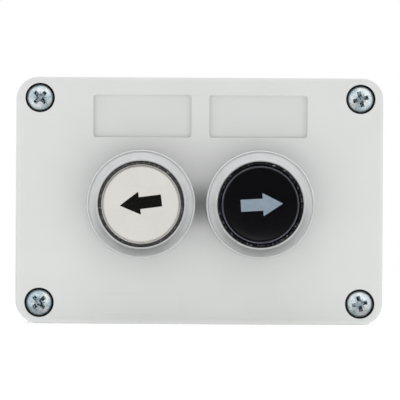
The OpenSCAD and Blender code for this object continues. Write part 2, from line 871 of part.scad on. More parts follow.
at_button(left) bezel();  // left_bezel
at_button(left) panel_seal();  // left_panel_seal
at_button(left) guide_body();  // left_guide_body
at_button(left) dust_seal();  // left_dust_seal
at_button(left) cap(left);  // left_cap
at_button(left) arrow(left);  // left_arrow
at_button(left) plunger();  // left_plunger
at_button(left) return_spring();  // left_return_spring
at_button(left) fixing_nut();  // left_fixing_nut
at_button(left) contact_holder();  // left_contact_holder
at_button(left) contact_housing();  // left_contact_housing
at_button(left) contact_back();  // left_contact_back
at_button(left) contact_pusher();  // left_contact_pusher
at_button(left) contact_bridge();  // left_contact_bridge
at_button(left) contact_spring();  // left_contact_spring
at_button(left) pusher_spring();  // left_pusher_spring
at_button(left) fixed_contacts();  // left_fixed_contacts
at_button(left) terminal_screws();  // left_terminal_screws

at_button(right) bezel();  // right_bezel
at_button(right) panel_seal();  // right_panel_seal
at_button(right) guide_body();  // right_guide_body
at_button(right) dust_seal();  // right_dust_seal
at_button(right) cap(right);  // right_cap
at_button(right) arrow(right);  // right_arrow
at_button(right) plunger();  // right_plunger
at_button(right) return_spring();  // right_return_spring
at_button(right) fixing_nut();  // right_fixing_nut
at_button(right) contact_holder();  // right_contact_holder
at_button(right) contact_housing();  // right_contact_housing
at_button(right) contact_back();  // right_contact_back
at_button(right) contact_pusher();  // right_contact_pusher
at_button(right) contact_bridge();  // right_contact_bridge
at_button(right) contact_spring();  // right_contact_spring
at_button(right) pusher_spring();  // right_pusher_spring
at_button(right) fixed_contacts();  // right_fixed_contacts
at_button(right) terminal_screws();  // right_terminal_screws
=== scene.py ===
import math

import bmesh
import bpy
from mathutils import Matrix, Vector
from mathutils.geometry import delaunay_2d_cdt


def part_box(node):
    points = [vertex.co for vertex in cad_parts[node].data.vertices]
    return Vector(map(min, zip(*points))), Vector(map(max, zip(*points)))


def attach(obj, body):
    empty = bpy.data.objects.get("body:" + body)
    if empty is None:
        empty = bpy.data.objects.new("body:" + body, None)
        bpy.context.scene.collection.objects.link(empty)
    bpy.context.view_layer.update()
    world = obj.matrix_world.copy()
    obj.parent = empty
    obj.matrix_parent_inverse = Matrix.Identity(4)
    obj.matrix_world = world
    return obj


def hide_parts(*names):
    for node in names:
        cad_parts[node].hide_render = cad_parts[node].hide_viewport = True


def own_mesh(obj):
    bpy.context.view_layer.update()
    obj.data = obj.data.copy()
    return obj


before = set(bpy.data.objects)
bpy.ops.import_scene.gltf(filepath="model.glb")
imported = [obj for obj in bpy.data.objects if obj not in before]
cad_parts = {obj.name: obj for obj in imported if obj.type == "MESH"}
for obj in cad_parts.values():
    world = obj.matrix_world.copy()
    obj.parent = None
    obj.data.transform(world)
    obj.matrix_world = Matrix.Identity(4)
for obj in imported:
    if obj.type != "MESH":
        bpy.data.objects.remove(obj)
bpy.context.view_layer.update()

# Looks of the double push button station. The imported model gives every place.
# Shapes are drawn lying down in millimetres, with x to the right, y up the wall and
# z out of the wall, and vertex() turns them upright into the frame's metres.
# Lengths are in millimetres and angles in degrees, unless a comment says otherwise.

MM = 0.001
SIDES = ("left", "right")


def span(node):
    """Lowest and highest corner of a CAD node, lying down, in millimetres."""
    low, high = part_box(node)
    return Vector((low.x, low.z, -high.y)) / MM, Vector((high.x, high.z, -low.y)) / MM


# Enclosure
base_low, base_high = span("base")
WIDTH = base_high.x - base_low.x
HEIGHT = base_high.y - base_low.y
PARTING = base_high.z
FRONT = span("cover")[1].z
CORNER_R = 5.7
FRONT_EDGE_R = 1.25
FRONT_EDGE_STEPS = 10
EDGE_FLAT = 0.15
BACK_EDGE_R = 1.2
BACK_EDGE_STEPS = 6
PARTING_CHAMFER = 0.4
FRONT_T = 2.6
BACK_T = 3.0
ARC_STEPS = 12
HOLE_STEPS = 64
HOLE_ROUND = 0.15

# Seal groove
SEAL_INSET = 0.8
SEAL_W = 1.4
SEAL_RIB = 0.8
SEAL_GROOVE_D = 2.2

# Cover screws
SCREW_X = WIDTH / 2 - 6.25
SCREW_Y = HEIGHT / 2 - 5.75
POST_R = 4.7
HEAD_R = 3.65
HEAD_H = 2.5
HEAD_TOP = span("cover_screws")[1].z
HEAD_BOTTOM = HEAD_TOP - HEAD_H
HEAD_EDGE_R = 0.9
HEAD_FLAT_R = HEAD_R - HEAD_EDGE_R
HEAD_DOME = 0.5
HEAD_MIDDLE_R = 0.02
HEAD_FOOT = 0.1
HEAD_STEPS = 8
HEAD_SIDES = 48
SCREW_R = 2.0
SCREW_END = span("cover_screws")[0].z
SCREW_PLAIN = 4.0
SCREW_PITCH = 0.7
SCREW_THREAD_D = 0.3
SCREW_TIP = 0.6
SCREW_HOLE_R = 2.2
RECESS_R = 4.05
RECESS_ROUND = 0.2
PILOT_R = 2.02
PILOT_SPARE = 2.0
CORE_R = 3.3
CORE_WEB = 6.0
# Turn of the cross for each corner
SCREW_TURNS = {(-1, 1): 45, (-1, -1): 43, (1, 1): 15, (1, -1): 12}
# Half length, half width and height over the head's top
CROSS_LEVELS = ((2.35, 0.6, 0.5), (2.2, 0.54, -0.4), (1.2, 0.42, -1.5))
# Start, end, half width and height over the head's top
MARK_LEVELS = ((0.45, 1.75, 0.13, 0.5), (0.45, 1.7, 0.08, -0.35))

# Label recesses and bare frame
LABEL_W = 27.0
LABEL_H = 11.7
LABEL_R = 0.8
LABEL_D = 1.1
LABEL_TOP_ROUND = 0.2
LABEL_FOOT_ROUND = 0.05
LABEL_X = 16.0
LABEL_Y = 23.3
FRAME_W = 22.6
FRAME_H = 6.2
FRAME_R = 0.9
FRAME_LINE = 0.4
FRAME_SLANT = 0.08
FRAME_D = 0.05
FRAME_STEPS = 4
FRAME_AT = (-16.2, -28.5)

# Wall holes and knock-outs
WALL_HOLE_X = 36.0
WALL_HOLE_Y = 20.0
WALL_HOLE_R = 2.9
WALL_BOSS_R = 5.0
WALL_BOSS_H = 2.0
KNOCKOUT_R = 10.25
KNOCKOUT_LINE = 1.0
KNOCKOUT_D = 1.2
KNOCKOUT_TOP_ROUND = 0.12
KNOCKOUT_FOOT_ROUND = 0.1

# Buttons, heights above the front face
PANEL_HOLE_R = 11.15
BEZEL_R = 14.9
OPENING_R = 11.9
LIP_W = 0.55
LIP_BEVEL = 0.15
LIP_BEVEL_ROUND = 0.12
LIP_ROUND = 0.1
RIM_W = 0.4
RIM_ROUND = 0.19
GROOVE_W = 0.3
GROOVE_D = 0.24
GROOVE_ROUND = 0.06
SLOPE_H = 1.4
SLOPE_CROWN = -0.09
SLOPE_STEPS = 12
BEZEL_LIFT = 0.1
BEZEL_SEAT_R = 13.9
BEZEL_SEAT_ROUND = 0.08
BEZEL_FOOT_ROUND = 0.15
BEZEL_HOLE_R = 11.05
PANEL_SEAL_T = 1.0
LEDGE_TOP = 2.4
LEDGE_ROUND = 0.1
CAP_T = 1.6
CAP_WALL_R = 10.62
CAP_EDGE_R = 0.5
CAP_EDGE_STEPS = 8
CAP_SHOULDER_D = 0.9
CAP_DISH = 0.6
CAP_RINGS = 24
SKIRT_R = 9.0
SKIRT_BORE_R = 7.6
FLANGE_T = 0.8
FLANGE_ROUND = 0.1
COLLAR_R = 11.64
COLLAR_BORE_R = 11.1
COLLAR_SINK = 0.9
TOOTH_D = 0.7
TOOTH_ROUND = 0.12
TOOTH_LEVELS = (0.1, 0.5, 1.0, 0.5)
BARREL_R = 11.0
BARREL_BORE_R = 9.15
BARREL_FLOOR = 1.5
BARREL_END_ROUND = 0.3
BARREL_MOUTH_ROUND = 0.15
THREAD_START = 0.6
THREAD_END = -3.2
THREAD_PITCH = 1.0
THREAD_D = 0.25
ROD_HOLE_R = 4.15
KEY_W = 3.0
KEY_ROOT = 1.0
KEY_OUT = 0.9
KEY_GAP = 0.2
SPIN_STEPS = 192

cap_low, cap_high = span("left_cap")
cap_r = (cap_high.x - cap_low.x) / 2
cap_top = cap_high.z - FRONT
skirt_end = cap_low.z - FRONT
face_r = CAP_WALL_R - CAP_EDGE_R

# Springs: the joint that shortens each, the body that it rides on, turns and wire radius
SPRINGS = {
    "return_spring": ("press", "button", 6, 0.4),
    "pusher_spring": ("contact_slide", "contact", 4, 0.25),
}
COIL_STEPS = 28
WIRE_SIDES = 10
CLOSED_TURNS = 0.9

# Arrows, seen from the front: each with its turn, its shift along itself and its rise
ARROW_PLACES = {"left": (180 + 7.5, 0.1, 0.3), "right": (3.5, 0.4, 0.0)}
ARROW_L = 11.6
ARROW_HEAD_W = 6.4
ARROW_HEAD_L = 5.5
ARROW_TAIL_W = 3.3
ARROW_PROUD = 0.015
ARROW_DEPTH = 0.3
ARROW_GRID = 0.6
ARROW_CLEAR = ARROW_GRID / 3
ARROW_FILL = 1  # triangles inside the border only
ARROW_SAME = 1e-6  # distance at which points are one
ARROW_ROUND = 0.12
ARROW_ROUND_STEPS = 4

# Angles over which an edge is drawn sharp
SHARP = 35
SHARP_TURNED = 40
SHARP_SCREW = 30

# Shade painted on the cover: share and reach between the bezels, then start and end of that in
# the screw recesses: out from their wall, down from the front face and under the head
PAINTED_SHADE_COLOUR = (0.015, 0.025, 0.025, 1)
PAINTED_SHADE = 0.62
PAINTED_SHADE_R = 8.0
PAINTED_SHADE_OUT = (0.02, 0.06)
PAINTED_SHADE_DOWN = (1.0, 0.35)
PAINTED_SHADE_UNDER = (1.0, 0.5)

# Painted shade and highlights on the buttons, the bezels and the screws
# Shade painted on the white cap's rounded edge and a highlight ring painted on the black cap's
# edge
PAINTED_CAP_EDGES = {"left": (10.05, 10.62, 0.5), "right": (10.48, 10.54, 115.0)}  # start, end, tone
PAINTED_EDGE_FADE = 0.1
# Lighter colour painted on the bezels' lip and rim as a highlight
HIGHLIGHT_METAL = (0.9, 0.9, 0.91, 1)
LIP_HIGHLIGHT = 0.3
LIP_HIGHLIGHT_ENDS = (0.9, 1.2)  # shares of the lip's width
RIM_HIGHLIGHT_START = 0.6  # share of the groove's width
# Darker tone painted down the bezels' outer wall as shade
WALL_SHADE_TONE = 0.75
WALL_TOP = FRONT + 8.35
WALL_FADE = 0.2
# Shade painted on the screw heads' rounded edge and rim, and in their cross, broken by noise
# and lighter towards the middle
HEAD_BEND_SHADE = 0.7
HEAD_BEND_GAP = 0.1
HEAD_RIM_SHADE = 0.15
HEAD_RIM_W = 0.06
CROSS_EDGE_D = 0.08
CROSS_SHADE_D = 0.3
CROSS_ENDS = (2.4, 2.6)
CROSS_LIFT_MIDDLE = 0.1
CROSS_LIFT_OUTSIDE = -0.02
CROSS_LIFT_R = 1.2

# Camera, with its distance and reach in metres, and frame of the picture
PIXELS = 400
PIXELS_PER_MM = 3.624
AIM_UP = 0.22
ROLL = 0.33
CAMERA_DISTANCE = 3.0
CAMERA_REACH = 20
CAMERA_ASIDE = 1.3
SENSOR = 36.0

# Light: angles from the tent's opening in front, heights as shares and levels
AMBIENT = 0.96
FRONT_INNER = 15
FRONT_OUTER = 40
FRONT_LEVEL = 0.1
HIGH_START = 0.25
HIGH_END = 0.9
HIGH_LEVEL = 0.7
DARK_INNER = 22
DARK_OUTER = 28
DARK_LEVEL = 0.02
DARK_DROP = 0.2
SIDE_START = 0.5
SIDE_LEVEL = 0.95

# Lamp and floor, in metres and watts. The half turn only sets where the samples fall.
TOP_POWER = 3.4
TOP_HEIGHT = 0.9
TOP_SIZE = 0.6
TOP_TURN = -180
FLOOR_R = 2.5
FLOOR_SIDES = 96
FLOOR_GAP = 0.0001
FLOOR_COLOUR = 0.9
# Shadow painted on the floor close in front of the object, seen only by glossy and transmission
# rays: start, end and level
FLOOR_SHADOW_NEAR = 0.006
FLOOR_SHADOW_FAR = 0.035
FLOOR_SHADOW_LEVEL = 0.02
FLOOR_LIFT = 0.52
FLOOR_SHOWN = 0.3


# Lines and places
def axis_of(side):
    """Place of a button's axis."""
    low, high = span(side + "_bezel")
    return ((low.x + high.x) / 2, (low.y + high.y) / 2)


def corners(x, y):
    """The four places that far from the middle."""
    return [(sx * x, sy * y) for sx in (-1, 1) for sy in (-1, 1)]


def quarter_turn(steps):
    """Angles of a quarter of a circle, in radians."""
    return [math.pi / 2 * i / steps for i in range(steps + 1)]


def turned(x, y, angle):
    """A point turned round the origin by an angle in radians."""
    c, s = math.cos(angle), math.sin(angle)
    return x * c - y * s, x * s + y * c


def rounded_rect(width, height, radius, z, centre=(0, 0), steps=ARC_STEPS):
    """Closed line round a rectangle with rounded corners."""
    points = []
    for quarter, (sx, sy) in enumerate([(1, 1), (-1, 1), (-1, -1), (1, -1)]):
        for i in range(steps + 1):
            a = math.pi / 2 * (quarter + i / steps)
            x = centre[0] + sx * (width / 2 - radius) + radius * math.cos(a)
            y = centre[1] + sy * (height / 2 - radius) + radius * math.sin(a)
            points.append((x, y, z))
    return points


def circle(centre, radius, z, steps=HOLE_STEPS):
    """Closed line round a circle."""
    turn = 2 * math.pi / steps
    return [
        (centre[0] + radius * math.cos(i * turn), centre[1] + radius * math.sin(i * turn), z)
        for i in range(steps)
    ]


def outline(z, inset=0.0):
    """Outline of the enclosure, set in from the outside."""
    return rounded_rect(WIDTH - 2 * inset, HEIGHT - 2 * inset, CORNER_R - inset, z)


def room(grow, z):
    """Line inside the walls that goes round the corner posts."""
    x_wall = WIDTH / 2 - SEAL_INSET - grow
    y_wall = HEIGHT / 2 - SEAL_INSET - grow
    reach = POST_R + grow
    corner = [(x_wall, SCREW_Y - reach)]
    for i in range(ARC_STEPS + 1):
        a = -math.pi / 2 * (1 + i / ARC_STEPS)
        corner.append((SCREW_X + reach * math.cos(a), SCREW_Y + reach * math.sin(a)))
    corner.append((SCREW_X - reach, y_wall))
    points = []
    for sx, sy in [(1, 1), (-1, 1), (-1, -1), (1, -1)]:
        quarter = [(sx * x, sy * y, z) for x, y in corner]
        points += quarter if sx == sy else quarter[::-1]
    return points


def edge_fall(depth, top, bottom, steps=4):
    """Offset outwards and depth of a recess's edge, rounded at its top and its foot."""
    quarter = quarter_turn(steps)
    head = [(top * (1 - math.sin(a)), top * (1 - math.cos(a))) for a in quarter]
    foot = [(-bottom * (1 - math.cos(a)), depth - bottom * (1 - math.sin(a))) for a in quarter]
    return head + foot


def rounded(points, steps=5):
    """Closed profile whose corners are rounded by the radius given with each point."""
    out = []
    for i, (x, y, radius) in enumerate(points):
        here = Vector((x, y))
        if not radius:
            out.append((x, y))
            continue
        a = (Vector(points[i - 1][:2]) - here).normalized()
        b = (Vector(points[(i + 1) % len(points)][:2]) - here).normalized()
        half = a.angle(b) / 2
        centre = here + (a + b).normalized() * radius / math.sin(half)
        arm = here + a * radius / math.tan(half) - centre
        sweep = (math.pi - 2 * half) * (-1 if a.cross(b) > 0 else 1)
        for k in range(steps + 1):
            x_out, y_out = turned(arm.x, arm.y, sweep * k / steps)
            out.append((centre.x + x_out, centre.y + y_out))
    return out


def split_long(points, step):
    """Closed line with its long stretches cut into short ones."""
    out = []
    for a, b in zip(points, points[1:] + points[:1]):
        run = Vector(b) - Vector(a)
        parts = max(1, round(run.length / step))
        out += [tuple(Vector(a) + run * i / parts) for i in range(parts)]
    return out


def inside(x, y, points):
    """Whether a point lies within a closed line."""
    hit = False
    for (ax, ay), (bx, by) in zip(points, points[1:] + points[:1]):
        if (ay > y) != (by > y) and x < (bx - ax) * (y - ay) / (by - ay) + ax:
            hit = not hit
    return hit


# Meshes
def vertex(bm, x, y, z):
    """New vertex, turned upright and into metres."""
    return bm.verts.new((x * MM, -z * MM, y * MM))


def add_loop(bm, points):
    """New vertices along a line."""
    return [vertex(bm, *p) for p in points]


def bridge(bm, a, b, skip=()):
    """Wall between two loops of vertices, but for the stretches to skip."""
    for i in range(len(a)):
        j = (i + 1) % len(a)
        if i not in skip:
            bm.faces.new((a[i], a[j], b[j], b[i]))


def loft(bm, loops, start=None):
    """Walls through a row of loops. A start loop of vertices is carried on from."""
    rows = [start] if start else []
    rows += [add_loop(bm, p) for p in loops]
    for a, b in zip(rows, rows[1:]):
        bridge(bm, a, b)
    return rows[-1]


def sink(bm, loops):
    """Walls through a row of loops, closed at their end; gives the first loop."""
    first = add_loop(bm, loops[0])
    bm.faces.new(loft(bm, loops[1:], first))
    return first


def solid(bm, loops):
    """Walls through a row of loops, closed at both ends."""
    bm.faces.new(sink(bm, loops))


def fill(bm, *loops):
    """Flat face between closed loops of vertices."""
    edges = []
    for loop in loops:
        for a, b in zip(loop, loop[1:] + loop[:1]):
            edges.append(bm.edges.get((a, b)) or bm.edges.new((a, b)))
    bmesh.ops.triangle_fill(bm, use_beauty=True, use_dissolve=False, edges=edges)


def fan(bm, centre, z, loop):
    """Closes a loop with triangles to a point on the axis."""
    middle = vertex(bm, *centre, FRONT + z)
    for a, b in zip(loop, loop[1:] + loop[:1]):
        bm.faces.new((a, b, middle))


def spin(bm, profile, centre, closed=True):
    """Turned ring or disc from a profile of radius and height above the front face."""
    rows = [add_loop(bm, circle(centre, r, FRONT + z, SPIN_STEPS)) for r, z in profile]
    for a, b in zip(rows, rows[1:]):
        bridge(bm, a, b)
    if closed:
        bridge(bm, rows[-1], rows[0])
    return rows


def round_hole(bm, centre, radius, z_from, z_to, top=HOLE_ROUND):
    """Round hole from one height to another; gives its first and last loop."""
    way = 1 if z_to < z_from else -1
    falls = edge_fall(abs(z_to - z_from), top, 0.0)
    head = falls[: len(falls) // 2]
    loops = [circle(centre, radius + out, z_from - way * drop) for out, drop in head]
    loops.append(circle(centre, radius, z_to))
    first = add_loop(bm, loops[0])
    return first, loft(bm, loops[1:], first)


def add_object(name, data):
    """New object in the scene."""
    made = bpy.data.objects.new(name, data)
    bpy.context.scene.collection.objects.link(made)
    return made


def add_mesh(name, bm):
    """New object in the scene from a finished bmesh."""
    mesh = bpy.data.meshes.new(name)
    bm.to_mesh(mesh)
    bm.free()
    return add_object(name, mesh)


def new_piece(name, bm, body, material, node, sharp=SHARP):
    """Makes a bmesh a piece that rides on a body and stands for a CAD node."""
    bmesh.ops.recalc_face_normals(bm, faces=bm.faces)
    piece = add_mesh(name, bm)
    for polygon in piece.data.polygons:
        polygon.use_smooth = True
    piece.data.set_sharp_from_angle(angle=math.radians(sharp))
    piece.data.materials.append(material)
    normals = piece.modifiers.new("even_normals", "WEIGHTED_NORMAL")
    normals.keep_sharp = True
    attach(piece, body)
    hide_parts(node)
    return piece


# Nodes
def feed(tree, socket, value):
    """Sets a socket to a constant, or links another socket to it."""
    if isinstance(value, bpy.types.NodeSocket):
        tree.links.new(value, socket)
    else:
        socket.default_value = value


def math_node(tree, operation, a, b=0):
    """What a Math node makes of two values, each a number or a socket."""
    made = tree.nodes.new("ShaderNodeMath")
    made.operation = operation
    feed(tree, made.inputs[0], a)
    feed(tree, made.inputs[1], b)
    return made.outputs[0]


def vector_node(tree, operation, vector, second=None):
    """What a Vector Math node makes of a socket and a second value, if any."""
    made = tree.nodes.new("ShaderNodeVectorMath")
    made.operation = operation
    tree.links.new(vector, made.inputs[0])
    if second is not None:
        feed(tree, made.inputs["Scale" if operation == "SCALE" else 1], second)
    return made.outputs["Value" if operation in ("LENGTH", "DOT_PRODUCT") else "Vector"]


def axes_of(tree, vector):
    """The X, Y and Z of a socket."""
    made = tree.nodes.new("ShaderNodeSeparateXYZ")
    tree.links.new(vector, made.inputs[0])
    return made.outputs


def mix(tree, share, low, high):
    """A value that goes from low to high with a share, each a number or a socket."""
    made = tree.nodes.new("ShaderNodeMix")
    feed(tree, made.inputs[0], share)
    feed(tree, made.inputs[2], low)
    feed(tree, made.inputs[3], high)
    return made.outputs[0]


def map_range(tree, value, start, end, low, high, kind="LINEAR"):
    """A level that goes from low to high while a value goes from start to end."""
    made = tree.nodes.new("ShaderNodeMapRange")
    made.interpolation_type = kind
    made.inputs["From Min"].default_value = start
    made.inputs["From Max"].default_value = end
    made.inputs["To Min"].default_value = low
    made.inputs["To Max"].default_value = high
    tree.links.new(value, made.inputs["Value"])
    return made.outputs["Result"]


def fade(tree, value, start, end, low, high):
    """As map_range, with a soft start and end."""
    return map_range(tree, value, start, end, low, high, "SMOOTHSTEP")


# Materials
class Finish:
    """A procedural material under construction, with its shader and helpers."""

    def __init__(self, name, colour, roughness, metallic=0.0):
        """Starts with the plain shader."""
        self.material = bpy.data.materials.new(name)
        self.material.use_nodes = True
        self.tree = self.material.node_tree
        self.shader = self.tree.nodes["Principled BSDF"]
        self.shader.inputs["Base Color"].default_value = (*colour, 1)
        self.shader.inputs["Roughness"].default_value = roughness
        self.shader.inputs["Metallic"].default_value = metallic
        self.colour = colour
        self.coords = self.tree.nodes.new("ShaderNodeTexCoord").outputs["Object"]

    def join(self, output, socket):
        """Links one socket to another."""
        self.tree.links.new(output, socket)

    def noise(self, scale, detail=4.0, stretch=None, coords=None):
        """Noise of a scale per metre, which may be stretched."""
        made = self.tree.nodes.new("ShaderNodeTexNoise")
        made.inputs["Scale"].default_value = scale
        made.inputs["Detail"].default_value = detail
        source = coords or self.coords
        if stretch:
            mapping = self.tree.nodes.new("ShaderNodeMapping")
            mapping.inputs["Scale"].default_value = stretch
            self.join(source, mapping.inputs["Vector"])
            source = mapping.outputs["Vector"]
        self.join(source, made.inputs["Vector"])
        return made.outputs["Fac"]

    def folded(self):
        """Coordinates with the four quarters laid on each other."""
        return vector_node(self.tree, "ABSOLUTE", self.coords)

    def radial(self, centre, coords=None):
        """Distance from an axis as X and depth along it as Y."""
        source = coords or self.coords
        shifted = self.tree.nodes.new("ShaderNodeMapping")
        shifted.inputs["Location"].default_value = (-centre[0] * MM, 0, -centre[1] * MM)
        shifted.inputs["Scale"].default_value = (1, 0, 1)
        self.join(source, shifted.inputs["Vector"])
        joined = self.tree.nodes.new("ShaderNodeCombineXYZ")
        length = vector_node(self.tree, "LENGTH", shifted.outputs["Vector"])
        self.join(length, joined.inputs["X"])
        self.join(axes_of(self.tree, source)["Y"], joined.inputs["Y"])
        return joined.outputs["Vector"]

    def ramp(self, value, low, high, start=0.3, end=0.7):
        """Colour that goes from one to another while a value goes from start to end."""
        made = self.tree.nodes.new("ShaderNodeValToRGB")
        first, last = made.color_ramp.elements
        first.position, last.position = start, end
        first.color, last.color = (*low, 1), (*high, 1)
        self.join(value, made.inputs["Fac"])
        return made.outputs["Color"]

    def spread(self, value, low, high, start=0.3, end=0.7):
        """Level that goes from low to high while a value goes from start to end."""
        return map_range(self.tree, value, start, end, low, high)

    def step(self, value, low, high, start, end):
        """As spread, with its start and end in millimetres."""
        return self.spread(value, low, high, start * MM, end * MM)

    def blend(self, share, low, high):
        """Colour that goes from one to another with a share."""
        made = self.tree.nodes.new("ShaderNodeMix")
        made.data_type = "RGBA"
        for name, value in (("Factor", share), ("A", low), ("B", high)):
            feed(self.tree, made.inputs[name], value)
        return made.outputs["Result"]

    def toned(self, colour, tone):
        """Colour made darker or lighter by a tone."""
        return vector_node(self.tree, "SCALE", colour, tone)

    def around(self, change):
        """Two colours that differ from the finish's own by a share of it."""
        low = tuple(c * (1 - change) for c in self.colour)
        return low, tuple(min(1, c * (1 + change)) for c in self.colour)

    def paint(self, colour):
        """Gives the shader its colour."""
        self.join(colour, self.shader.inputs["Base Color"])

    def tint(self, value, change):
        """Colour that varies by a share of itself with a texture."""
        self.paint(self.ramp(value, *self.around(change)))

    def rough(self, value, low, high):
        """Roughness that varies with a texture."""
        self.join(self.spread(value, low, high), self.shader.inputs["Roughness"])

    def bump(self, value, height, strength=1.0):
        """Relief of a height in millimetres, over what is there already."""
        made = self.tree.nodes.new("ShaderNodeBump")
        made.inputs["Strength"].default_value = strength
        made.inputs["Distance"].default_value = height * MM
        self.join(value, made.inputs["Height"])
        normal = self.shader.inputs["Normal"]
        if normal.is_linked:
            self.join(normal.links[0].from_socket, made.inputs["Normal"])
        self.join(made.outputs["Normal"], normal)


def moulded(name, colour, roughness, grain=0.006, change=0.02):
    """Moulded plastic with a fine grain and a faint unevenness."""
    finish = Finish(name, colour, roughness)
    finish.tint(finish.noise(90), change)
    finish.rough(finish.noise(700), roughness - 0.06, roughness + 0.06)
    finish.bump(finish.noise(60, 2.0), 0.03, 0.3)
    finish.bump(finish.noise(4200, 3.0), grain)
    return finish


def shell_plastic():
    """Light grey shell, with shade painted into the screw recesses and between the bezels."""
    finish = moulded("shell_plastic_grey", (0.66, 0.67, 0.66), 0.5, 0.008, 0.012)
    tree = finish.tree
    screw = axes_of(tree, finish.radial((SCREW_X, SCREW_Y), finish.folded()))
    # Painted shade: the cover is darker in the screw recesses and between the bezels, where
    # shade falls
    near = finish.step(screw["X"], 1, 0, *[RECESS_R + r for r in PAINTED_SHADE_OUT])
    sunk = finish.step(screw["Y"], 1, 0, *[FRONT - d for d in PAINTED_SHADE_DOWN])
    middle = axes_of(tree, finish.radial((0, axis_of("left")[1])))["X"]
    between = fade(tree, middle, 0, PAINTED_SHADE_R * MM, PAINTED_SHADE, 0)
    painted_shade = math_node(tree, "MAXIMUM", math_node(tree, "MULTIPLY", near, sunk), between)
    on_cover = finish.step(screw["Y"], 0, 1, *[HEAD_BOTTOM - d for d in PAINTED_SHADE_UNDER])
    unshaded = finish.shader.inputs["Base Color"].links[0].from_socket
    share = math_node(tree, "MULTIPLY", painted_shade, on_cover)
    finish.paint(finish.blend(share, unshaded, PAINTED_SHADE_COLOUR))
    return finish.material


def collar_plastic(name, colour):
    """Glossy black collar with bright flecks painted on its teeth as glints."""
    finish = Finish(name, colour, 0.15)
    # Bright flecks painted on the teeth as glints
    finish.paint(finish.ramp(finish.noise(1500, 5.0), colour, (0.3, 0.3, 0.31), 0.56, 0.68))
    finish.rough(finish.noise(700), 0.1, 0.2)
    finish.bump(finish.noise(1100, 4.0), 0.02)
    return finish.material


def glossy_cap(name, colour, roughness, side):
    """Polished plastic with hairline scratches, and a band painted on its rounded edge: shade
    on the white cap, a highlight on the black cap.
    """
    finish = Finish(name, colour, roughness)
    tree = finish.tree
    away = axes_of(tree, finish.radial(axis_of(side)))
    start, end, tone = PAINTED_CAP_EDGES[side]
    # Painted shade on the white cap's edge, a painted highlight ring on the black cap's edge
    outside = finish.step(away["X"], 0, tone - 1, start, end)
    foot = CAP_EDGE_R - FRONT - cap_top
    above = finish.step(away["Y"], 1, 0, foot, foot + PAINTED_EDGE_FADE)
    edge = math_node(tree, "ADD", 1, math_node(tree, "MULTIPLY", outside, above))
    face = finish.ramp(finish.noise(120), *finish.around(0.02))
    finish.paint(finish.toned(face, edge))
    scratches = finish.noise(500, 8.0, (1.0, 1.0, 14.0))
    finish.rough(scratches, roughness - 0.04, roughness + 0.08)
    finish.bump(finish.noise(1800, 3.0), 0.0012)
    finish.shader.inputs["Coat Weight"].default_value = 0.5
    finish.shader.inputs["Coat Roughness"].default_value = 0.08
    return finish.material


def satin_metal(name, centre):
    """Blasted and turned metal, with a highlight painted on its rim and lip and shade painted
    down its wall.
    """
    finish = Finish(name, (0.68, 0.685, 0.69), 0.55, 0.9)
    tree = finish.tree
    rings = finish.radial(centre)
    away = axes_of(tree, rings)
    groove_r = BEZEL_R - RIM_W
    # Painted highlight on the lip and rim
    lip = finish.step(away["X"], LIP_HIGHLIGHT, 0, *[OPENING_R + LIP_W * s for s in LIP_HIGHLIGHT_ENDS])
    rim = finish.step(away["X"], 0, 1, groove_r - GROOVE_W * RIM_HIGHLIGHT_START, groove_r)
    body = finish.ramp(finish.noise(260), (0.65, 0.655, 0.66), (0.71, 0.715, 0.72))
    highlighted = finish.blend(math_node(tree, "MAXIMUM", lip, rim), body, HIGHLIGHT_METAL)
    # Painted shade down the outer wall
    wall = finish.step(away["Y"], 1, WALL_SHADE_TONE, -WALL_TOP, WALL_FADE - WALL_TOP)
    finish.paint(finish.toned(highlighted, wall))
    finish.rough(finish.noise(900), 0.5, 0.6)
    finish.bump(finish.noise(9000, 2.0, coords=rings), 0.0015)
    finish.bump(finish.noise(2600, 3.0), 0.004)
    return finish.material


def zinc():
    """Zinc plating with a bluish passivation and handling marks."""
    finish = Finish("zinc_plate", (0.62, 0.68, 0.74), 0.26, 1.0)
    finish.paint(
        finish.ramp(finish.noise(420, 5.0), (0.48, 0.56, 0.64), (0.78, 0.80, 0.80)))
    finish.rough(finish.noise(1400, 6.0), 0.18, 0.36)
    finish.bump(finish.noise(1100, 6.0, (1.0, 1.0, 6.0)), 0.01)
    return finish.material


